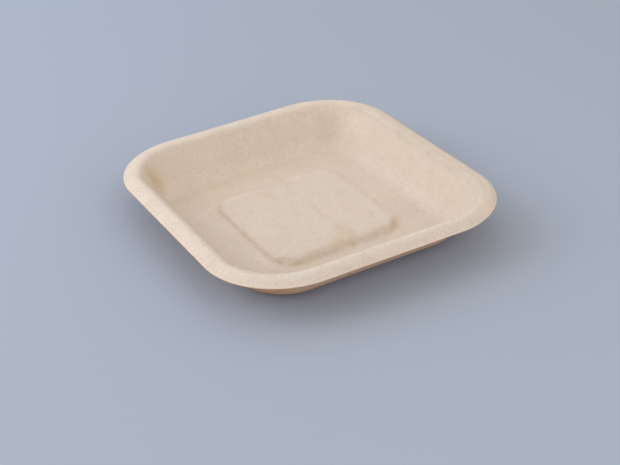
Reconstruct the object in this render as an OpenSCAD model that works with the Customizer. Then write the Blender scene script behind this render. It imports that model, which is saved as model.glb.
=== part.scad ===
// Shallow rounded food tray pressed from plant fibre: one sheet with a turned-down rim, sloping walls,
// a flat floor and a low raised panel in its middle. Lengths are in millimetres.
// The origin is under the middle of the tray, on the surface it stands on. X runs across, Y runs deep.

/* [Overall size] */
// Outside width of the tray, from lip to lip along X
tray_w = 170; // [160:1:240]
// Outside depth of the tray, from lip to lip along Y
tray_d = 183; // [170:1:260]
// Height of the tray, from the table to the crest of its rim
tray_h = 24.5; // [20:0.5:32]
// Thickness of the fibre sheet
wall_t = 1.1; // [0.6:0.1:1.8]

/* [Rim] */
// Corner radius of the lip, seen from above
rim_corner_r = 44; // [40:1:52]
// Run of the rim, from the lip in to its crest
rim_w = 8; // [5:0.5:10]
// Angle by which the rim turns down at its lip, from level
lip_angle = 35; // [15:1:50]
// Radius of the bend from the crest down into the wall
shoulder_r = 3; // [2:0.5:6]

/* [Wall and floor] */
// Slope of the wall, from level
wall_angle = 61; // [52:1:70]
// Radius of the bend from the wall into the floor
fillet_r = 12; // [6:0.5:14]
// Corner radius of the flat floor
floor_corner_r = 22; // [18:1:28]

/* [Raised panel] */
// Width of the raised panel along X, halfway up its edge
panel_w = 79; // [60:1:90]
// Depth of the raised panel along Y, halfway up its edge
panel_d = 83; // [64:1:96]
// Height of the panel above the floor
panel_h = 1.8; // [0.8:0.1:3]
// Run of the panel's sloping edge
panel_edge_w = 6.5; // [5:0.5:9]
// Corner radius of the panel, halfway up its edge
panel_corner_r = 14; // [9:1:20]

/* [Hidden] */

fibre_colour = [0.84, 0.77, 0.70];

// Straight facets that stand for each bend and each rounded corner
corner_steps = 12;
lip_steps = 4;
rim_steps = 6;
shoulder_steps = 6;
fillet_steps = 8;
panel_steps = 4;

// A station is a point on the upper face of the sheet: [distance in from the lip, height, slope],
// where a positive slope falls towards the middle of the tray.

// Stations of a bend that starts at station p and turns to slope a1, without p itself
function bend(p, a1, r, steps) =
    let (turn = sign(a1 - p[2]) * r)
    [for (k = [1 : steps])
        let (a = p[2] + (a1 - p[2]) * k / steps)
        [p[0] + turn * (sin(a) - sin(p[2])), p[1] + turn * (cos(a) - cos(p[2])), a]];

function last(list) = list[len(list) - 1];

// The lip is rounded over half the sheet's thickness, and its outermost point is at distance 0.
rim_r = rim_w / sin(lip_angle);
rim_rise = rim_r * (1 - cos(lip_angle));
lip_station = [wall_t / 2 * (1 - sin(lip_angle)), tray_h - rim_rise, -lip_angle];
rim = concat([lip_station], bend(lip_station, 0, rim_r, rim_steps));
shoulder = bend(last(rim), wall_angle, shoulder_r, shoulder_steps);

// The wall runs straight from the shoulder down to where its bend into the floor begins.
fillet_top = wall_t + fillet_r * (1 - cos(wall_angle));
wall_run = (last(shoulder)[1] - fillet_top) / tan(wall_angle);
wall_foot = [last(shoulder)[0] + wall_run, fillet_top, wall_angle];
fillet = bend(wall_foot, 0, fillet_r, fillet_steps);
floor_inset = last(fillet)[0];

// Corner radius of the wall at distance s from the lip. It starts as an even offset of the lip and
// eases into the floor's own corner, shrinking by corner_rate_lip and then by corner_rate_floor per
// length of inset.
corner_rate_lip = 1;
corner_rate_floor = 0.2;
function wall_corner_r(s) =
    let (u = s / floor_inset)
    rim_corner_r * (1 - 3 * u * u + 2 * u * u * u)
    + floor_corner_r * (3 * u * u - 2 * u * u * u)
    - corner_rate_lip * floor_inset * (u - 2 * u * u + u * u * u)
    + corner_rate_floor * floor_inset * (u * u - u * u * u);

// The panel's edge is two equal bends, one up from the floor and one over into the panel.
panel_edge_angle = 2 * atan(panel_h / panel_edge_w);
panel_edge_r = panel_edge_w / 2 / sin(panel_edge_angle);
panel_foot = [0, wall_t, 0];
panel_rise = bend(panel_foot, -panel_edge_angle, panel_edge_r, panel_steps);
panel_edge = concat([panel_foot], panel_rise, bend(last(panel_rise), 0, panel_edge_r, panel_steps));

// An outline is a rounded rectangle at one height: [half width, half depth, corner radius, height, slope].
function wall_outline(p) = [tray_w / 2 - p[0], tray_d / 2 - p[0], wall_corner_r(p[0]), p[1], p[2]];
function panel_outline(p) =
    let (out = panel_edge_w / 2 - p[0])
    [panel_w / 2 + out, panel_d / 2 + out, panel_corner_r + out, p[1], p[2]];

upper_outlines = concat(
    [for (p = concat(rim, shoulder, [wall_foot], fillet)) wall_outline(p)],
    [for (p = panel_edge) panel_outline(p)]);

// Outline on the line that runs square through the sheet from outline o, at the given depth
function offset_outline(o, depth) =
    let (out = depth * sin(o[4]))
    [o[0] + out, o[1] + out, o[2] + out, o[3] - depth * cos(o[4]), o[4]];

lower_outlines = [for (o = upper_outlines) offset_outline(o, wall_t)];

// The lip's rounded edge turns about the middle of the sheet, from the upper face to the lower one.
lip_middle = offset_outline(upper_outlines[0], wall_t / 2);
lip_outlines = [for (k = [1 : lip_steps - 1])
    let (a = lip_angle + 180 * k / lip_steps, out = wall_t / 2 * sin(a))
    [lip_middle[0] + out, lip_middle[1] + out, lip_middle[2] + out, lip_middle[3] + wall_t / 2 * cos(a)]];

// The sheet's whole surface, from the middle of its upper face, out round the lip, to the middle below
outlines = concat(
    [for (k = [len(upper_outlines) - 1 : -1 : 0]) upper_outlines[k]],
    lip_outlines,
    lower_outlines);

// Points of outline o, the same number for every outline, counter-clockwise seen from above
function outline_points(o) =
    [for (corner = [0 : 3], k = [0 : corner_steps])
        let (a = 90 * (corner + k / corner_steps),
            side_x = corner == 0 || corner == 3 ? 1 : -1,
            side_y = corner < 2 ? 1 : -1)
        [side_x * (o[0] - o[2]) + o[2] * cos(a), side_y * (o[1] - o[2]) + o[2] * sin(a), o[3]]];

// Solid inside a chain of rings of points that ends in a flat ring at each end
module closed_skin(rings) {
    n = len(rings[0]);
    count = len(rings);
    bands = [for (r = [0 : count - 2], k = [0 : n - 1])
        let (a = r * n + k, b = r * n + (k + 1) % n)
        each [[a, b, b + n], [a, b + n, a + n]]];
    first_cap = [for (k = [n - 1 : -1 : 0]) k];
    last_cap = [for (k = [0 : n - 1]) (count - 1) * n + k];
    polyhedron(points = [for (r = rings) each r], faces = concat([first_cap, last_cap], bands));
}

// The one sheet of the tray
module tray() {
    color(fibre_colour)
        closed_skin([for (o = outlines) outline_points(o)]);
}

tray();
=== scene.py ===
# Food tray pressed from unbleached plant fibre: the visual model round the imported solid.
import math

import bmesh
import bpy
import numpy as np
from mathutils import Matrix, Vector, noise


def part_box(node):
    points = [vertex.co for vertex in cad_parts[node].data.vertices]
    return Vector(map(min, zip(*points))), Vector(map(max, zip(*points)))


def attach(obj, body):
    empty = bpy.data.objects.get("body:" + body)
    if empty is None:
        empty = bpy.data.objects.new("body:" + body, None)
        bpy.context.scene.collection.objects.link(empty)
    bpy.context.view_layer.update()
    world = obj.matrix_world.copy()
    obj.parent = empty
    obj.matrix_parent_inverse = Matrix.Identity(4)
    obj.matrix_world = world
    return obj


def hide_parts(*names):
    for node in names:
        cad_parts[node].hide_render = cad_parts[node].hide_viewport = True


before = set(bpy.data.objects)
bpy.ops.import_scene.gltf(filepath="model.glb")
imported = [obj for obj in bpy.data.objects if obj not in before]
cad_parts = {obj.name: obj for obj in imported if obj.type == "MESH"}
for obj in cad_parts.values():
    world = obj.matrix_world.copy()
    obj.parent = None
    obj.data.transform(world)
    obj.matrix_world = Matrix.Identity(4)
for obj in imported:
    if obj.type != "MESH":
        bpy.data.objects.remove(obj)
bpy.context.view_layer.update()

MM = 0.001

# Sizes of the sheet, in metres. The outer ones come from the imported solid.
LOW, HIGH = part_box("tray")
HALF_W = (HIGH[0] - LOW[0]) / 2
HALF_D = (HIGH[1] - LOW[1]) / 2
TRAY_H = HIGH[2] - LOW[2]
WALL_T = 1.1 * MM
RIM_CORNER_R = 44 * MM
RIM_W = 8 * MM
LIP_ANGLE = math.radians(35)
SHOULDER_R = 3 * MM
WALL_ANGLE = math.radians(61)
FILLET_R = 12 * MM
FLOOR_CORNER_R = 22 * MM
CORNER_RATE_LIP = 1.0
CORNER_RATE_FLOOR = 0.2
PANEL_W = 79 * MM
PANEL_D = 83 * MM
PANEL_H = 1.8 * MM
PANEL_EDGE_W = 6.5 * MM
PANEL_EDGE_ANGLE = 2 * math.atan(PANEL_H / PANEL_EDGE_W)
PANEL_CORNER_R = 14 * MM

# How finely the skin is divided: steps in each bend, and the pitch elsewhere
LIP_STEPS = 8
RIM_STEPS = 12
SHOULDER_STEPS = 12
FILLET_STEPS = 14
EDGE_STEPS = 7
FLAT_PITCH = 1.6 * MM
PLATEAU_RINGS = 22
CORNER_STEPS = 32
SIDE_PITCH = 1.7 * MM

# How far the real sheet strays from its mould. The slow warp and the bowed sides fade out towards
# the foot, and the ripples and the smaller lumps are in the sheet's faces.
WARP_LENGTH = 80 * MM
WARP_HEIGHT = 0.4 * MM
BOW_RIGHT = 0.4 * MM
BOW_LEFT = 0.1 * MM
RIPPLE_LENGTH = 16 * MM
RIPPLE_HEIGHT = 0.07 * MM
LUMP_LENGTH = 6 * MM
FOOT_FLAT = 1.2 * MM

# The level at which the warp's noise is cut, the lumps' height as a share of the ripples', and the
# share of the ripples' height by which the upper face is raised
WARP_CUT = 0.3
LUMP_SHARE = 0.6
UPPER_LIFT = 0.5

# Bands of painted light and painted shade round the sheet, paler (or darker, below 0) than the rest
# on the sides of the rim and of the panel's edge that take more or less light: the way that they face,
# where they start and end, in mm in from the lip as counted along X, and by how much. The rim and its
# bend are the first 11 mm, and the panel's sloping edge runs from 42 to 49 mm.
LIGHT_AND_SHADE_BANDS = [
    ((-1, 0), 0.0, 7.5, 0.085),
    ((-0.7, -0.7), 0.0, 11.0, -0.035),
    ((-0.7, -0.7), 7.6, 10.2, -0.09),
    ((0.7, -0.7), 5.0, 11.0, -0.04),
    ((0, 1), 1.0, 11.0, 0.06),
    ((1, 0), 2.5, 5.5, 0.07),
    ((1, 0), 9.0, 11.5, -0.06),
    ((0, -1), 0.5, 4.5, -0.03),
    ((0, -1), 5.0, 11.0, 0.03),
    ((0, -1), 7.0, 9.5, 0.10),
    ((1, 0), 43.6, 47.0, 0.11),
    ((0, 1), 43.0, 50.0, 0.055),
]

# Bands of the panel's edge that were pressed harder: the way that they face, start, end, how hard
PRESSED_BANDS = [
    ((-1, 0), 44.3, 46.3, 1.12),
    ((0, -1), 42.6, 50.2, 0.7),
    ((1, 0), 46.0, 49.5, 0.2),
]

# Bands with a stronger fine grain: the way that they face, start, end, how much stronger
GRAINY_BANDS = [
    ((0, -1), 0.0, 11.0, 2.9),
    ((-1, 0), 0.0, 11.0, 2.5),
    ((0, 1), 0.0, 11.0, 1.25),
    ((0, -1), 34.0, 50.0, 1.5),
    ((-1, 0), 25.0, 50.0, 0.7),
    ((1, 0), 11.0, 50.0, 0.3),
]

# How softly those bands fade, and where the rim's own tint begins and ends its fade
LIGHT_AND_SHADE_SOFT = 1 * MM
PRESSED_SOFT = 1.5 * MM
GRAINY_SOFT = 1.5 * MM
RIM_FADE = (10 * MM, 13 * MM)

# Loose crumbs of pulp at the panel's front left corner: how many, where, how far they spread along
# and across that corner, and their smallest and largest radius
CRUMBS = 40
CRUMB_CENTRE = (-34.8 * MM, -35.9 * MM)
CRUMB_SPREAD = (2.8 * MM, 1.2 * MM)
CRUMB_SIZE = (0.12 * MM, 0.30 * MM)

# A crumb's shape and tone: how far its points are dented or raised, how long it is, how flat it is,
# and how much darker or paler than the sheet it can be
CRUMB_DENTS = (0.75, 1.15)
CRUMB_LENGTH = (0.8, 1.5)
CRUMB_FLATNESS = 0.7
CRUMB_TONES = (-0.25, 0.05, 0.25)
CRUMB_SEED = 5

# A height on the sheet is read from this many of its nearest points, none counted as nearer than this
NEAR_POINTS = 6
NEAR_LIMIT = 0.1 * MM


def bend(start, angle, radius, steps):
    """Stations of a bend from station start to the given slope; a station is [inset, height, slope]."""
    turn = math.copysign(radius, angle - start[2])
    out = []
    for k in range(1, steps + 1):
        a = start[2] + (angle - start[2]) * k / steps
        out.append([start[0] + turn * (math.sin(a) - math.sin(start[2])),
                    start[1] + turn * (math.cos(a) - math.cos(start[2])), a])
    return out


def straight(start, end, pitch):
    """Stations between two stations that share a slope, the end one included."""
    steps = max(1, round(math.dist(start[:2], end[:2]) / pitch))
    return [[start[i] + (end[i] - start[i]) * k / steps for i in range(3)] for k in range(1, steps + 1)]


def wall_stations():
    """Upper face from the lip to where the floor turns flat."""
    rim_r = RIM_W / math.sin(LIP_ANGLE)
    rim_rise = rim_r * (1 - math.cos(LIP_ANGLE))
    out = [[WALL_T / 2 * (1 - math.sin(LIP_ANGLE)), TRAY_H - rim_rise, -LIP_ANGLE]]
    out += bend(out[-1], 0, rim_r, RIM_STEPS)
    out += bend(out[-1], WALL_ANGLE, SHOULDER_R, SHOULDER_STEPS)
    fillet_top = WALL_T + FILLET_R * (1 - math.cos(WALL_ANGLE))
    run = (out[-1][1] - fillet_top) / math.tan(WALL_ANGLE)
    out += straight(out[-1], [out[-1][0] + run, fillet_top, WALL_ANGLE], FLAT_PITCH)
    out += bend(out[-1], 0, FILLET_R, FILLET_STEPS)
    return out


def panel_stations():
    """Upper face over the panel's sloping edge, with inset counted from the panel's foot."""
    radius = PANEL_EDGE_W / 2 / math.sin(PANEL_EDGE_ANGLE)
    out = [[0.0, WALL_T, 0.0]]
    out += bend(out[-1], -PANEL_EDGE_ANGLE, radius, EDGE_STEPS)
    out += bend(out[-1], 0, radius, EDGE_STEPS)
    return out


def wall_corner_r(inset, floor_inset):
    """Corner radius of the wall, which eases from the lip's corner into the floor's own."""
    u = inset / floor_inset
    return (RIM_CORNER_R * (1 - 3 * u**2 + 2 * u**3) + FLOOR_CORNER_R * (3 * u**2 - 2 * u**3)
            - CORNER_RATE_LIP * floor_inset * (u - 2 * u**2 + u**3)
            + CORNER_RATE_FLOOR * floor_inset * (u**2 - u**3))


def upper_outlines():
    """Rounded rectangles up the upper face: [half width, half depth, corner radius, height, slope]."""
    stations = wall_stations()
    floor_inset = stations[-1][0]
    out = [[HALF_W - s, HALF_D - s, wall_corner_r(s, floor_inset), z, a] for s, z, a in stations]
    edge = []
    for s, z, a in panel_stations():
        grow = PANEL_EDGE_W / 2 - s
        edge.append([PANEL_W / 2 + grow, PANEL_D / 2 + grow, PANEL_CORNER_R + grow, z, a])
    steps = round((out[-1][0] - edge[0][0]) / FLAT_PITCH)
    out += [[p + (q - p) * k / steps for p, q in zip(out[-1], edge[0])] for k in range(1, steps)]
    out += edge
    top = edge[-1]
    for k in range(1, PLATEAU_RINGS):
        share = 1 - k / PLATEAU_RINGS
        out.append([top[0] * share, top[1] * share, top[2] * share, top[3], top[4]])
    return out


def sunk(outline, depth):
    """The outline on the line square through the sheet, at the given depth below the upper face."""
    w, d, r, z, a = outline
    grow = depth * math.sin(a)
    return [w + grow, d + grow, r + grow, z - depth * math.cos(a), a]


def lip_outlines(first):
    """The rounded edge of the lip, from the upper face round to the lower one."""
    w, d, r, z, a = sunk(first, WALL_T / 2)
    out = []
    for k in range(1, LIP_STEPS):
        turn = LIP_ANGLE + math.pi * k / LIP_STEPS
        grow = WALL_T / 2 * math.sin(turn)
        out.append([w + grow, d + grow, r + grow, z + WALL_T / 2 * math.cos(turn), a])
    return out


def side_steps():
    """Steps along each straight side, the same for every ring."""
    across = round(2 * (HALF_W - RIM_CORNER_R) / SIDE_PITCH)
    along = round(2 * (HALF_D - RIM_CORNER_R) / SIDE_PITCH)
    return [across, along, across, along]


# The corners of a ring in the order that it takes them, as the signs of their X and Y
CORNERS = [(1, 1), (-1, 1), (-1, -1), (1, -1)]


def corner_point(outline, corner, angle):
    """The point of an outline's rounded corner that faces the given angle from +X."""
    w, d, r, z, _ = outline
    side_x, side_y = CORNERS[corner % len(CORNERS)]
    return side_x * (w - r) + r * math.cos(angle), side_y * (d - r) + r * math.sin(angle), z


def ring_points(outline):
    """Points round an outline, counter-clockwise, and the way out of it at each of them."""
    points, ways = [], []
    for corner, steps in enumerate(side_steps()):
        for k in range(CORNER_STEPS + 1):
            angle = math.pi / 2 * (corner + k / CORNER_STEPS)
            points.append(corner_point(outline, corner, angle))
            ways.append((math.cos(angle), math.sin(angle)))
        start, way = points[-1], ways[-1]
        end = corner_point(outline, corner + 1, angle)
        for k in range(1, steps):
            points.append(tuple(start[i] + (end[i] - start[i]) * k / steps for i in range(3)))
            ways.append(way)
    return points, ways


def smooth(value, low, high):
    """0 at low and 1 at high, with a soft start and end between them."""
    t = np.clip((value - low) / (high - low), 0, 1)
    return t * t * (3 - 2 * t)


def band(value, start, end, soft):
    """1 between start and end, fading to 0 outside them."""
    return smooth(value, start - soft, start + soft) * smooth(value, end + soft, end - soft)


def banded(ways, inset, bands, soft):
    """Sum of the bands at each point, by the way that the point faces and its inset."""
    return sum(np.clip(ways @ way, 0, 1) ** 2 * band(inset, start * MM, end * MM, soft) * amount
               for way, start, end, amount in bands)


def noise_at(points, length):
    """Noise round 0 at each point, with lumps of about the given length."""
    return np.array([noise.noise(p / length) for p in points])


def stray(verts, upper):
    """The sheet's points moved as pressing and drying would. The face that it stands on stays flat."""
    x, y, z = verts.T
    raised = smooth(z, FOOT_FLAT, TRAY_H)
    at = [Vector(v) for v in verts.tolist()]
    warp = noise_at([Vector((p.x, p.y, WARP_CUT)) for p in at], WARP_LENGTH)
    ripple = noise_at(at, RIPPLE_LENGTH) + LUMP_SHARE * noise_at(at, LUMP_LENGTH)
    bow = np.where(x > 0, BOW_RIGHT, BOW_LEFT) * (1 - (y / HALF_D) ** 2)
    bow *= smooth(abs(x), HALF_W / 2, HALF_W)
    out = verts.copy()
    out[:, 0] -= np.sign(x) * bow * raised
    out[:, 2] += WARP_HEIGHT * warp * raised
    out[:, 2] += RIPPLE_HEIGHT * np.where(upper, ripple + UPPER_LIFT, ripple * raised)
    return out


def skin_faces(count, n):
    """Faces between rings of n points each. A middle point closes the first ring and the last one."""
    faces = []
    for r in range(count - 1):
        for k in range(n):
            a, b = r * n + k, r * n + (k + 1) % n
            faces.append((a, a + n, b + n, b))
    top, bottom = count * n, count * n + 1
    last = (count - 1) * n
    for k in range(n):
        faces.append((top, k, (k + 1) % n))
        faces.append((bottom, last + (k + 1) % n, last + k))
    return faces


def sheet_mesh():
    """Vertices and faces of the whole skin, and the masks that the material reads."""
    upper = upper_outlines()
    lips = lip_outlines(upper[0])
    outlines = upper[::-1] + lips + [sunk(o, WALL_T) for o in upper]
    rings = [ring_points(o) for o in outlines]
    count, n = len(rings), len(rings[0][0])
    middles = [(0, 0, outlines[0][3]), (0, 0, outlines[-1][3])]
    verts = np.vstack([points for points, _ in rings] + [middles])
    ways = np.vstack([way for _, way in rings] + [[(0, 0), (0, 0)]])
    ring = np.append(np.repeat(np.arange(count), n), [0, count - 1])

    inset = np.array([HALF_W - o[0] for o in outlines])[ring]
    first_lip = len(upper)
    first_lower = first_lip + len(lips)
    masks = {
        "pressed": banded(ways, inset, PRESSED_BANDS, PRESSED_SOFT),
        # painted light and painted shade bands; add_crumbs adds the crumbs' own tones to this mask
        "pale": banded(ways, inset, LIGHT_AND_SHADE_BANDS, LIGHT_AND_SHADE_SOFT),
        "rim": 1 - smooth(inset, *RIM_FADE),
        "grainy": banded(ways, inset, GRAINY_BANDS, GRAINY_SOFT),
        "lip": (ring >= first_lip - 1) & (ring <= first_lower),
        "underside": ring >= first_lower,
    }
    return stray(verts, ring < first_lip), skin_faces(count, n), masks


def height_at(sheet, x, y):
    """Height of the sheet's upper face at a place, from the points nearest to it."""
    away = np.hypot(sheet[:, 0] - x, sheet[:, 1] - y)
    near = np.argsort(away)[:NEAR_POINTS]
    weight = 1 / (away[near] + NEAR_LIMIT)
    return float((sheet[near, 2] * weight).sum() / weight.sum())


def ball_mesh():
    """Points and faces of a small round ball of radius 1."""
    ball = bmesh.new()
    bmesh.ops.create_icosphere(ball, subdivisions=2, radius=1.0)
    points = np.array([v.co[:] for v in ball.verts])
    sides = [[v.index for v in f.verts] for f in ball.faces]
    ball.free()
    return points, sides


def add_crumbs(verts, faces, masks):
    """The sheet with its loose crumbs: small dented balls, some paler and some darker than the sheet."""
    shape, sides = ball_mesh()
    rng = np.random.default_rng(CRUMB_SEED)
    upper = verts[~masks["underside"]]
    diagonal = math.sqrt(0.5)
    tones = []
    for _ in range(CRUMBS):
        along, across = rng.normal(0, 1, 2) * CRUMB_SPREAD
        x = CRUMB_CENTRE[0] + (along + across) * diagonal
        y = CRUMB_CENTRE[1] + (across - along) * diagonal
        radius = rng.uniform(*CRUMB_SIZE)
        dented = shape * rng.uniform(*CRUMB_DENTS, (len(shape), 1)) * radius
        crumb = dented * (rng.uniform(*CRUMB_LENGTH), 1, CRUMB_FLATNESS)
        first = len(verts)
        verts = np.vstack([verts, crumb + (x, y, height_at(upper, x, y))])
        faces += [[first + k for k in side] for side in sides]
        tones += [rng.choice(CRUMB_TONES)] * len(shape)
    masks = {key: np.append(values, np.zeros(len(tones))) for key, values in masks.items()}
    # The crumbs' own tones go into the mask that holds the painted light and painted shade bands
    masks["pale"][-len(tones):] = tones
    return verts, faces, masks


def make_object(name, verts, faces, material, masks):
    """A smooth-shaded object, with each mask as an attribute of its points."""
    mesh = bpy.data.meshes.new(name)
    mesh.from_pydata([tuple(v) for v in verts], [], faces)
    mesh.update()
    for p in mesh.polygons:
        p.use_smooth = True
    for key, values in masks.items():
        layer = mesh.attributes.new(key, "FLOAT", "POINT")
        layer.data.foreach_set("value", np.asarray(values, dtype=np.float32))
    mesh.materials.append(material)
    obj = bpy.data.objects.new(name, mesh)
    bpy.context.scene.collection.objects.link(obj)
    return obj


def srgb(r, g, b):
    """A colour as a screen shows it, 0 to 255, as the linear colour that the shader takes."""
    return tuple(((c / 255 + 0.055) / 1.055) ** 2.4 for c in (r, g, b)) + (1.0,)


# Sockets of the mix node that it uses for colours
MIX_SHARE, MIX_FIRST, MIX_SECOND = 0, 6, 7
MIX_RESULT = 2


class Shader:
    """One material's node tree, with short ways to add what the sheet's look is made of."""

    def __init__(self, name):
        self.material = bpy.data.materials.new(name)
        self.material.use_nodes = True
        self.tree = self.material.node_tree

    def put(self, node, inputs):
        """Sets each input of a node, or links it where its value is the output of another node."""
        for key, value in inputs.items():
            if isinstance(value, bpy.types.NodeSocket):
                self.tree.links.new(value, node.inputs[key])
            else:
                node.inputs[key].default_value = value

    def add(self, kind, inputs, **settings):
        """A new node of the given kind, with its settings made and its inputs put."""
        node = self.tree.nodes.new(kind)
        for key, value in settings.items():
            setattr(node, key, value)
        self.put(node, inputs)
        return node

    def calc(self, operation, a, b=0.0):
        return self.add("ShaderNodeMath", {0: a, 1: b}, operation=operation).outputs[0]

    def plus(self, a, b):
        return self.calc("ADD", a, b)

    def times(self, a, b):
        return self.calc("MULTIPLY", a, b)

    def vector(self, operation, inputs, output=0):
        return self.add("ShaderNodeVectorMath", inputs, operation=operation).outputs[output]

    def noise(self, where, size, detail=2.0, roughness=0.5, output="Fac"):
        """Noise round 0.5 whose lumps have about the given size, in metres."""
        inputs = {"Vector": where, "Scale": 1 / size, "Detail": detail, "Roughness": roughness}
        return self.add("ShaderNodeTexNoise", inputs).outputs[output]

    def ramp(self, value, low, high, to_low=0.0, to_high=1.0):
        """Goes softly from to_low to to_high as the value goes from low to high."""
        inputs = {"Value": value, "From Min": low, "From Max": high, "To Min": to_low, "To Max": to_high}
        return self.add("ShaderNodeMapRange", inputs, interpolation_type="SMOOTHSTEP").outputs[0]

    def patches(self, where, size, low, high, to_low, to_high):
        """Soft patches of about the given size, where a noise goes from low to high."""
        return self.ramp(self.noise(where, size, detail=3), low, high, to_low, to_high)

    def placed(self, where, centre, turn, size):
        """Coordinates round a centre, turned by degrees about Z, in units of the given size."""
        rotation = (0, 0, math.radians(turn))
        inputs = {"Vector": where, "Location": centre, "Rotation": rotation, "Scale": size}
        return self.add("ShaderNodeMapping", inputs, vector_type="TEXTURE").outputs[0]

    def spot(self, where, centre, turn, size):
        """A mask that is 1 at the centre of an ellipsoid and fades to 0 at its edge."""
        away = self.vector("LENGTH", {0: self.placed(where, centre, turn, size)}, "Value")
        return self.ramp(away, 0, 1, 1, 0)

    def mask(self, name):
        """One of the masks that sheet_mesh gives."""
        return self.add("ShaderNodeAttribute", {}, attribute_name=name).outputs["Fac"]

    def mix(self, share, first, second, **settings):
        """The first colour where the share is 0, and the second one where it is 1."""
        inputs = {MIX_SHARE: share, MIX_FIRST: first, MIX_SECOND: second}
        return self.add("ShaderNodeMix", inputs, data_type="RGBA", **settings).outputs[MIX_RESULT]

    def tint(self, colour, mask, by):
        """Multiplies a colour by another one, as far as the mask says."""
        return self.mix(mask, colour, by + (1.0,), blend_type="MULTIPLY", clamp_result=False)

    def total(self, textures, shares):
        """Sum of (texture - 0.5) * share over the named shares."""
        out = 0.0
        for name, share in shares.items():
            inputs = {0: textures[name], 1: share, 2: -share / 2}
            out = self.plus(self.add("ShaderNodeMath", inputs, operation="MULTIPLY_ADD").outputs[0], out)
        return out

    def surface(self, inputs):
        """The finished material, with these inputs of its surface."""
        self.put(self.tree.nodes["Principled BSDF"], inputs)
        return self.material


# The fibre's plain colour, and how it takes the light
FIBRE_COLOUR = srgb(206, 189, 170)
FIBRE_ROUGHNESS = 0.92
FIBRE_SPECULAR = 0.25

# A slow noise bends the places that most textures and marks are read at, so that their outlines waver
DRIFT_SIZE = 9 * MM
DRIFT_REACH = 4 * MM

# The pulp's textures: how large clouds, mottling, grain and speckle are, the size and the turns of its
# single fibres, and the noise levels between which pale and dark fibres fade in
CLOUD_SIZE = 26 * MM
MOTTLE_SIZE = 6 * MM
GRAIN_SIZE = 1.5 * MM
SPECKLE_SIZE = 0.55 * MM
HAIR_SIZE = (4 * MM, 0.4 * MM, 1.2 * MM)
HAIR_TURNS = (15, 75, 135)
PALE_HAIR_LEVELS = (0.62, 0.80)
DARK_HAIR_LEVELS = (0.38, 0.20)

# How much each texture lightens the pulp (or darkens it, below 0). The speckle has a line of its own,
# because some bands have more of it.
TONE_SHARES = {"cloud": 0.07, "mottle": 0.10, "grain": 0.24, "pale_hairs": 0.06, "dark_hairs": -0.08}
SPECKLE_SHARES = {"speckle": 0.20}

# How much each texture, the weave and the rough pulp lift the surface (or lower it, below 0), as shares
# of the depth of the relief
RELIEF_SHARES = {"mottle": 0.8, "grain": 0.55, "speckle": 0.18, "pale_hairs": 0.25}
WEAVE_RELIEF = 0.22
ROUGH_RELIEF = -0.7
RELIEF_DEPTH = 0.12 * MM

# Length of one wave of the weave that the forming screen leaves on the underside
WEAVE_PITCH = 1.3 * MM

# Soft patches: their size, the noise levels between which they change, and the values at those levels
UNEVEN_PATCHES = (11 * MM, 0.35, 0.65, 0.6, 1.4)
YELLOW_PATCHES = (17 * MM, 0.48, 0.72, 0.0, 1.0)
ROSY_PATCHES = (8 * MM, 0.50, 0.75, 0.0, 1.0)
PRESSED_PATCHES = (4.5 * MM, 0.3, 0.7, 0.6, 1.3)

# Specks of darker pulp, each at the middle of a cell: the cells' pitch, the shares of it between which
# a speck fades out, and the random values between which a cell comes to have one (about 3 in 10 do)
SPECK_PITCH = 5 * MM
SPECK_REACH = (0.10, 0.03)
SPECK_PICK = (0.70, 0.74)

# Rough pulp under the crumbs: its height, turn and half size, and the size and noise levels of its lumps
ROUGH_Z = 2.4 * MM
ROUGH_TURN = -45
ROUGH_HALF = (5.5 * MM, 3.2 * MM, 4 * MM)
ROUGH_LUMP = 0.9 * MM
ROUGH_LEVELS = (0.42, 0.58)

# What the colour is multiplied by in each kind of place
YELLOW_TINT = (0.995, 0.985, 0.96)
ROSY_TINT = (1.0, 0.99, 0.995)
RIM_TINT = (0.99, 1.0, 1.01)
SPECK_TINT = (0.80, 0.75, 0.68)
PRESSED_TINT = (0.87, 0.835, 0.80)
# The lip's paler cut edge, and a painted highlight along it where it catches the light
LIP_PALE_AND_HIGHLIGHT_TINT = (1.10, 1.09, 1.07)
UNDERSIDE_TINT = (1.03, 1.0, 0.94)
ROUGH_TINT = (0.91, 0.87, 0.79)
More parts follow.
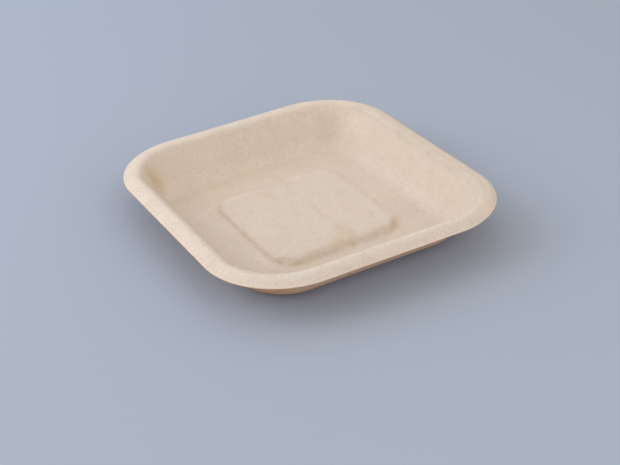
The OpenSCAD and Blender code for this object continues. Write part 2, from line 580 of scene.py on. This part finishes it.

# Marks in the sheet, and among them patches of painted light and painted shade: centre, turn, half
# size (mm) and what the colour is multiplied by at the centre
MARKS = [
    ("stain in the far left corner", (-63.5, 65.3, 14.5), 45, (12, 12, 15), (0.89, 0.80, 0.64)),
    ("paler foot of that corner", (-54, 64, 5), 0, (15, 10, 8), (1.07, 1.065, 1.06)),
    ("yellower floor along the far wall", (-12, 60, 2), 0, (52, 13, 9), (1.0, 0.985, 0.955)),
    # Painted shade: the far right corner's valley darkened where its walls shade it
    ("darker valley in the far right corner", (55.5, 70, 12), -45, (13, 14, 28), (0.905, 0.89, 0.865)),
    ("paler far end of the right rim", (75, 45, 24), 0, (8, 22, 6), (1.07, 1.06, 1.05)),
    ("yellower inside of the right rim", (75.5, -20, 23.5), 0, (4, 80, 5), (1.0, 0.99, 0.94)),
    ("pale far right end of the rim", (72, 69, 23.5), -55, (20, 8, 7), (1.08, 1.08, 1.09)),
    ("yellow patch at the panel's far edge", (-9.5, 31, 2.9), 28, (5, 12, 5), (0.945, 0.925, 0.86)),
    ("yellow patch beside it", (6.5, 38, 2.6), 0, (8, 13, 5), (0.97, 0.96, 0.895)),
    ("dull stretch of the panel's far edge", (-14, 40.5, 2), 0, (34, 5, 5), (0.91, 0.91, 0.905)),
    ("gap in the panel's far edge", (-3, 37.6, 2.7), 0, (14, 3.5, 5), (0.935, 0.92, 0.89)),
    ("dark start of the long streak", (4.8, 30, 2.9), -12, (1.8, 8, 6), (0.91, 0.90, 0.875)),
    ("long streak down the panel", (6.3, -6, 2.9), 0, (3, 36, 6), (0.94, 0.94, 0.94)),
    ("faint spot, left", (-26, 19, 2.9), 0, (6, 5, 5), (0.95, 0.95, 0.955)),
    ("faint spot, right", (13, 18.5, 2.9), 0, (5, 3, 5), (0.95, 0.95, 0.955)),
    ("short streak, front right", (29.5, -21.5, 2.9), -12, (2, 10, 6), (0.90, 0.90, 0.89)),
    ("short streak, far right", (27, 33, 2.9), -4, (1.2, 8, 6), (0.96, 0.955, 0.95)),
    ("yellow patch at the panel's front", (7, -27, 2.9), -10, (7, 11, 5), (0.935, 0.915, 0.84)),
    ("brown core of that patch", (9.5, -33, 2.8), -20, (3.5, 6, 5), (0.91, 0.875, 0.80)),
    ("smudge on the panel's front edge", (0, -36.5, 2.6), 15, (10, 7, 5), (0.94, 0.91, 0.80)),
    ("brown streak down that edge", (4.6, -42, 1.8), -20, (3, 8, 5), (0.91, 0.86, 0.76)),
    ("brown front right corner of the panel", (33.8, -37.2, 2.2), -40, (3.8, 12, 5), (0.90, 0.85, 0.74)),
    ("brown at the panel's front left", (-20, -43.5, 1.4), 0, (22, 5, 5), (0.97, 0.955, 0.90)),
    ("dark foot of the rough corner", (-31.5, -41.6, 1.6), -18, (8, 3.6, 5), (0.87, 0.85, 0.81)),
    ("dark spot in the rough corner", (-37.6, -37.2, 2), 0, (2.6, 2.2, 5), (0.86, 0.85, 0.80)),
    ("paler middle of the rough corner", (-33.5, -37.5, 2.4), -45, (6, 2.5, 5), (1.10, 1.09, 1.07)),
    ("orange along the panel's left edge", (-38.3, -14, 2), 5, (2.5, 15, 5), (1.0, 0.975, 0.91)),
    ("pale floor by the panel's left edge", (-43, -28, 1.2), 0, (3, 14, 5), (1.08, 1.08, 1.08)),
    ("pale left part of the panel", (-32, -4, 2.9), 0, (10, 42, 5), (1.035, 1.035, 1.045)),
    ("pale far left part of the panel", (-24, 39.5, 2.9), 0, (11, 8, 5), (1.075, 1.07, 1.065)),
    ("pale far right part of the panel", (31, 36, 2.9), 0, (11, 11, 5), (1.035, 1.03, 1.03)),
    ("olive floor to the right", (46, 10, 1.1), 0, (9, 50, 6), (0.99, 0.985, 0.96)),
    ("darker floor, front right", (50, -24, 1.8), 0, (15, 24, 6), (0.955, 0.955, 0.95)),
    ("yellow floor, far right", (48, 42, 1.1), 0, (8, 10, 5), (0.985, 0.975, 0.93)),
    ("yellow floor, far left", (-38, 46, 1.1), 0, (14, 6, 5), (0.985, 0.975, 0.94)),
    ("floor in front of the panel", (-15, -47, 1), 0, (50, 12, 5), (0.965, 0.96, 0.955)),
    # Painted light: the right wall beside the far right valley, lit more brightly
    ("paler far end of the right wall", (68, 54, 14), 0, (9, 20, 16), (1.06, 1.06, 1.06)),
    # Painted light: the cool light that the rim's crest catches at the front left
    ("cool patch on the rim", (-48.5, -83, 24), 0, (15, 5, 6), (1.01, 1.045, 1.11)),
    ("rosier front of the rim", (0, -88, 22), 0, (75, 5, 8), (1.012, 0.993, 0.98)),
    ("warm end of the rim", (65, -82, 23), 45, (16, 8, 8), (1.03, 0.99, 0.95)),
]


def drifted(shader, at):
    """The places on the tray, bent by the slow drift."""
    drift = shader.noise(at, DRIFT_SIZE, output="Color")
    centred = shader.vector("SUBTRACT", {0: drift, 1: (0.5,) * 3})
    return shader.vector("MULTIPLY_ADD", {0: centred, 1: (DRIFT_REACH,) * 3, 2: at})


def pulp_textures(shader, at, bent):
    """The textures that the pulp's tone and relief are made of, by name."""
    hairs = []
    for turn in HAIR_TURNS:
        lengthwise = shader.placed(bent, (0, 0, 0), turn, HAIR_SIZE)
        hairs.append(shader.noise(lengthwise, 1, detail=1))
    highest = shader.calc("MAXIMUM", shader.calc("MAXIMUM", hairs[0], hairs[1]), hairs[2])
    lowest = shader.calc("MINIMUM", shader.calc("MINIMUM", hairs[0], hairs[1]), hairs[2])
    return {
        "cloud": shader.noise(at, CLOUD_SIZE),
        "mottle": shader.noise(bent, MOTTLE_SIZE, detail=3),
        "grain": shader.noise(bent, GRAIN_SIZE, detail=4, roughness=0.6),
        "speckle": shader.noise(at, SPECKLE_SIZE, detail=3, roughness=0.6),
        "pale_hairs": shader.ramp(highest, *PALE_HAIR_LEVELS),
        "dark_hairs": shader.ramp(lowest, *DARK_HAIR_LEVELS),
    }


def pulp_tone(shader, at, pulp):
    """How light the pulp is, round 1: its textures, the grainier bands, and the bands of painted light
    and painted shade, which also hold the crumbs' own tones.
    """
    grainy = shader.plus(shader.mask("grainy"), 1.0)
    speckle = shader.times(shader.total(pulp, SPECKLE_SHARES), grainy)
    tone = shader.plus(shader.total(pulp, TONE_SHARES), speckle)
    # The painted light and painted shade bands, with the crumbs' own tones, in uneven patches
    pale = shader.times(shader.mask("pale"), shader.patches(at, *UNEVEN_PATCHES))
    return shader.plus(shader.plus(tone, pale), 1.0)


def specks(shader, bent):
    """A mask of the specks of darker pulp."""
    cells = shader.add("ShaderNodeTexVoronoi", {"Vector": bent, "Scale": 1 / SPECK_PITCH})
    pick = shader.add("ShaderNodeSeparateColor", {0: cells.outputs["Color"]}).outputs[0]
    middle = shader.ramp(cells.outputs["Distance"], *SPECK_REACH)
    return shader.times(middle, shader.ramp(pick, *SPECK_PICK))


def pulp_colour(shader, at, bent, pulp):
    """The colour of the pulp: its tone, its slow changes of hue, and its specks."""
    tone = pulp_tone(shader, at, pulp)
    colour = shader.vector("SCALE", {0: FIBRE_COLOUR[:3], "Scale": tone})
    colour = shader.tint(colour, shader.patches(bent, *YELLOW_PATCHES), YELLOW_TINT)
    colour = shader.tint(colour, shader.patches(at, *ROSY_PATCHES), ROSY_TINT)
    colour = shader.tint(colour, shader.mask("rim"), RIM_TINT)
    return shader.tint(colour, specks(shader, bent), SPECK_TINT)


def pressed_edge_lip_highlight_and_underside(shader, bent, colour):
    """The colour darker and yellower where the panel's edge was pressed harder in forming, which it was
    unevenly, paler on the lip, partly a paler cut edge and partly a painted highlight, and warmer on the
    underside."""
    pressed = shader.times(shader.mask("pressed"), shader.patches(bent, *PRESSED_PATCHES))
    colour = shader.tint(colour, pressed, PRESSED_TINT)
    # Paler cut edge and painted highlight on the lip
    colour = shader.tint(colour, shader.mask("lip"), LIP_PALE_AND_HIGHLIGHT_TINT)
    return shader.tint(colour, shader.mask("underside"), UNDERSIDE_TINT)


def marked_colour(shader, bent, plain):
    """The colour with the marks and the patches of painted light and painted shade, which are in the
    upper face alone.
    """
    colour = plain
    for _, centre, turn, half, by in MARKS:
        mask = shader.spot(bent, [c * MM for c in centre], turn, [h * MM for h in half])
        colour = shader.tint(colour, mask, by)
    return shader.mix(shader.mask("underside"), colour, plain)


def rough_pulp(shader, at):
    """A mask of the rough pulp at the panel's front left corner."""
    corner = shader.spot(at, CRUMB_CENTRE + (ROUGH_Z,), ROUGH_TURN, ROUGH_HALF)
    lumps = shader.ramp(shader.noise(at, ROUGH_LUMP, detail=3, roughness=0.7), *ROUGH_LEVELS)
    return shader.times(corner, lumps)


def weave(shader, bent):
    """The weave that the forming screen has left on the underside."""
    axes = shader.add("ShaderNodeSeparateXYZ", {0: bent}).outputs
    turns = 2 * math.pi / WEAVE_PITCH
    waves = [shader.calc("SINE", shader.times(axes[i], turns)) for i in (0, 1)]
    return shader.times(shader.times(waves[0], waves[1]), shader.mask("underside"))


def relief(shader, bent, pulp, rough):
    """The fine relief of the surface, which is too small for the mesh."""
    height = shader.total(pulp, RELIEF_SHARES)
    height = shader.plus(height, shader.times(weave(shader, bent), WEAVE_RELIEF))
    height = shader.plus(height, shader.times(rough, ROUGH_RELIEF))
    inputs = {"Height": height, "Distance": RELIEF_DEPTH, "Strength": 1.0}
    return shader.add("ShaderNodeBump", inputs).outputs[0]


def fibre_material():
    """The pressed fibre, from its pulp to its marks."""
    shader = Shader("moulded_fibre")
    at = shader.add("ShaderNodeTexCoord", {}).outputs["Object"]
    bent = drifted(shader, at)
    pulp = pulp_textures(shader, at, bent)
    rough = rough_pulp(shader, at)
    colour = pulp_colour(shader, at, bent, pulp)
    colour = pressed_edge_lip_highlight_and_underside(shader, bent, colour)
    colour = marked_colour(shader, bent, colour)
    colour = shader.tint(colour, rough, ROUGH_TINT)
    return shader.surface({
        "Base Color": colour,
        "Normal": relief(shader, bent, pulp, rough),
        "Roughness": FIBRE_ROUGHNESS,
        "Specular IOR Level": FIBRE_SPECULAR,
    })


# The floor: half its side, what it shows to the camera, and the warmer, darker colour that it gives
# back to the tray
FLOOR_HALF = 3.0
FLOOR_COLOUR = srgb(159, 165, 175)
FLOOR_BOUNCE = srgb(154, 118, 88)


def floor_material():
    shader = Shader("floor")
    seen = shader.add("ShaderNodeLightPath", {}).outputs["Is Camera Ray"]
    colour = shader.mix(seen, FLOOR_BOUNCE, FLOOR_COLOUR)
    return shader.surface({"Base Color": colour, "Roughness": 1.0})


def make_floor():
    corners = [(x * FLOOR_HALF, y * FLOOR_HALF, 0) for x, y in ((-1, -1), (1, -1), (1, 1), (-1, 1))]
    make_object("floor", corners, [(0, 1, 2, 3)], floor_material(), {})


# Light: the even light from all round, the lamps' width and distance from the tray, and for each lamp
# its azimuth from +Y towards +X, its elevation, and its power in watts for red, green and blue
SKY_COLOUR = (0.819, 0.786, 0.719)
LAMP_SIZE = 1.0
LAMP_DISTANCE = 1.2
LAMPS = {
    "key": (-60, 30, (6.36, 7.00, 8.42)),
    "front": (180, 30, (3.54, 4.18, 5.78)),
    "back": (0, 30, (0.61, 1.26, 2.81)),
}


def make_world():
    world = bpy.data.worlds.new("studio")
    bpy.context.scene.world = world
    world.use_nodes = True
    sky = world.node_tree.nodes["Background"].inputs
    sky["Color"].default_value = SKY_COLOUR + (1.0,)
    sky["Strength"].default_value = 1.0


def make_lamp(name, azimuth, elevation, power):
    """A round soft lamp aimed at the tray."""
    data = bpy.data.lights.new(name, "AREA")
    data.shape = "DISK"
    data.size = LAMP_SIZE
    data.energy = max(power)
    data.color = [p / max(power) for p in power]
    lamp = bpy.data.objects.new(name, data)
    a, e = math.radians(azimuth), math.radians(elevation)
    away = Vector((math.sin(a) * math.cos(e), math.cos(a) * math.cos(e), math.sin(e)))
    lamp.location = away * LAMP_DISTANCE
    lamp.rotation_mode = "QUATERNION"
    lamp.rotation_quaternion = (-lamp.location).to_track_quat("-Z", "Y")
    bpy.context.scene.collection.objects.link(lamp)


# The photograph's camera: where it stands, the way it looks and its roll, in the tray's frame
CAMERA_AT = (-290.1 * MM, -540.2 * MM, 356.1 * MM)
CAMERA_HEADING = math.radians(28.366)
CAMERA_PITCH = math.radians(-30.880)
CAMERA_ROLL = math.radians(-3.200)
PHOTO_W = 620
FOCAL_PX = 1260
SENSOR_MM = 36


def make_camera():
    data = bpy.data.cameras.new("camera")
    data.sensor_width = SENSOR_MM
    data.lens = FOCAL_PX / PHOTO_W * SENSOR_MM
    cam = bpy.data.objects.new("camera", data)
    h, p = CAMERA_HEADING, CAMERA_PITCH
    ahead = Vector((math.sin(h) * math.cos(p), math.cos(h) * math.cos(p), math.sin(p)))
    level = Vector((math.cos(h), -math.sin(h), 0))
    up = level.cross(ahead)
    right = level * math.cos(CAMERA_ROLL) + up * math.sin(CAMERA_ROLL)
    up = right.cross(ahead)
    turn = Matrix((right, up, -ahead)).transposed().to_4x4()
    cam.matrix_world = Matrix.Translation(CAMERA_AT) @ turn
    bpy.context.scene.collection.objects.link(cam)
    bpy.context.scene.camera = cam


make_camera()
make_floor()
make_world()
for lamp_name, settings in LAMPS.items():
    make_lamp(lamp_name, *settings)

verts, faces, masks = add_crumbs(*sheet_mesh())
tray = make_object("fibre_tray", verts, faces, fibre_material(), masks)
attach(tray, "root")
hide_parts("tray")

bpy.context.scene.view_settings.view_transform = "Standard"
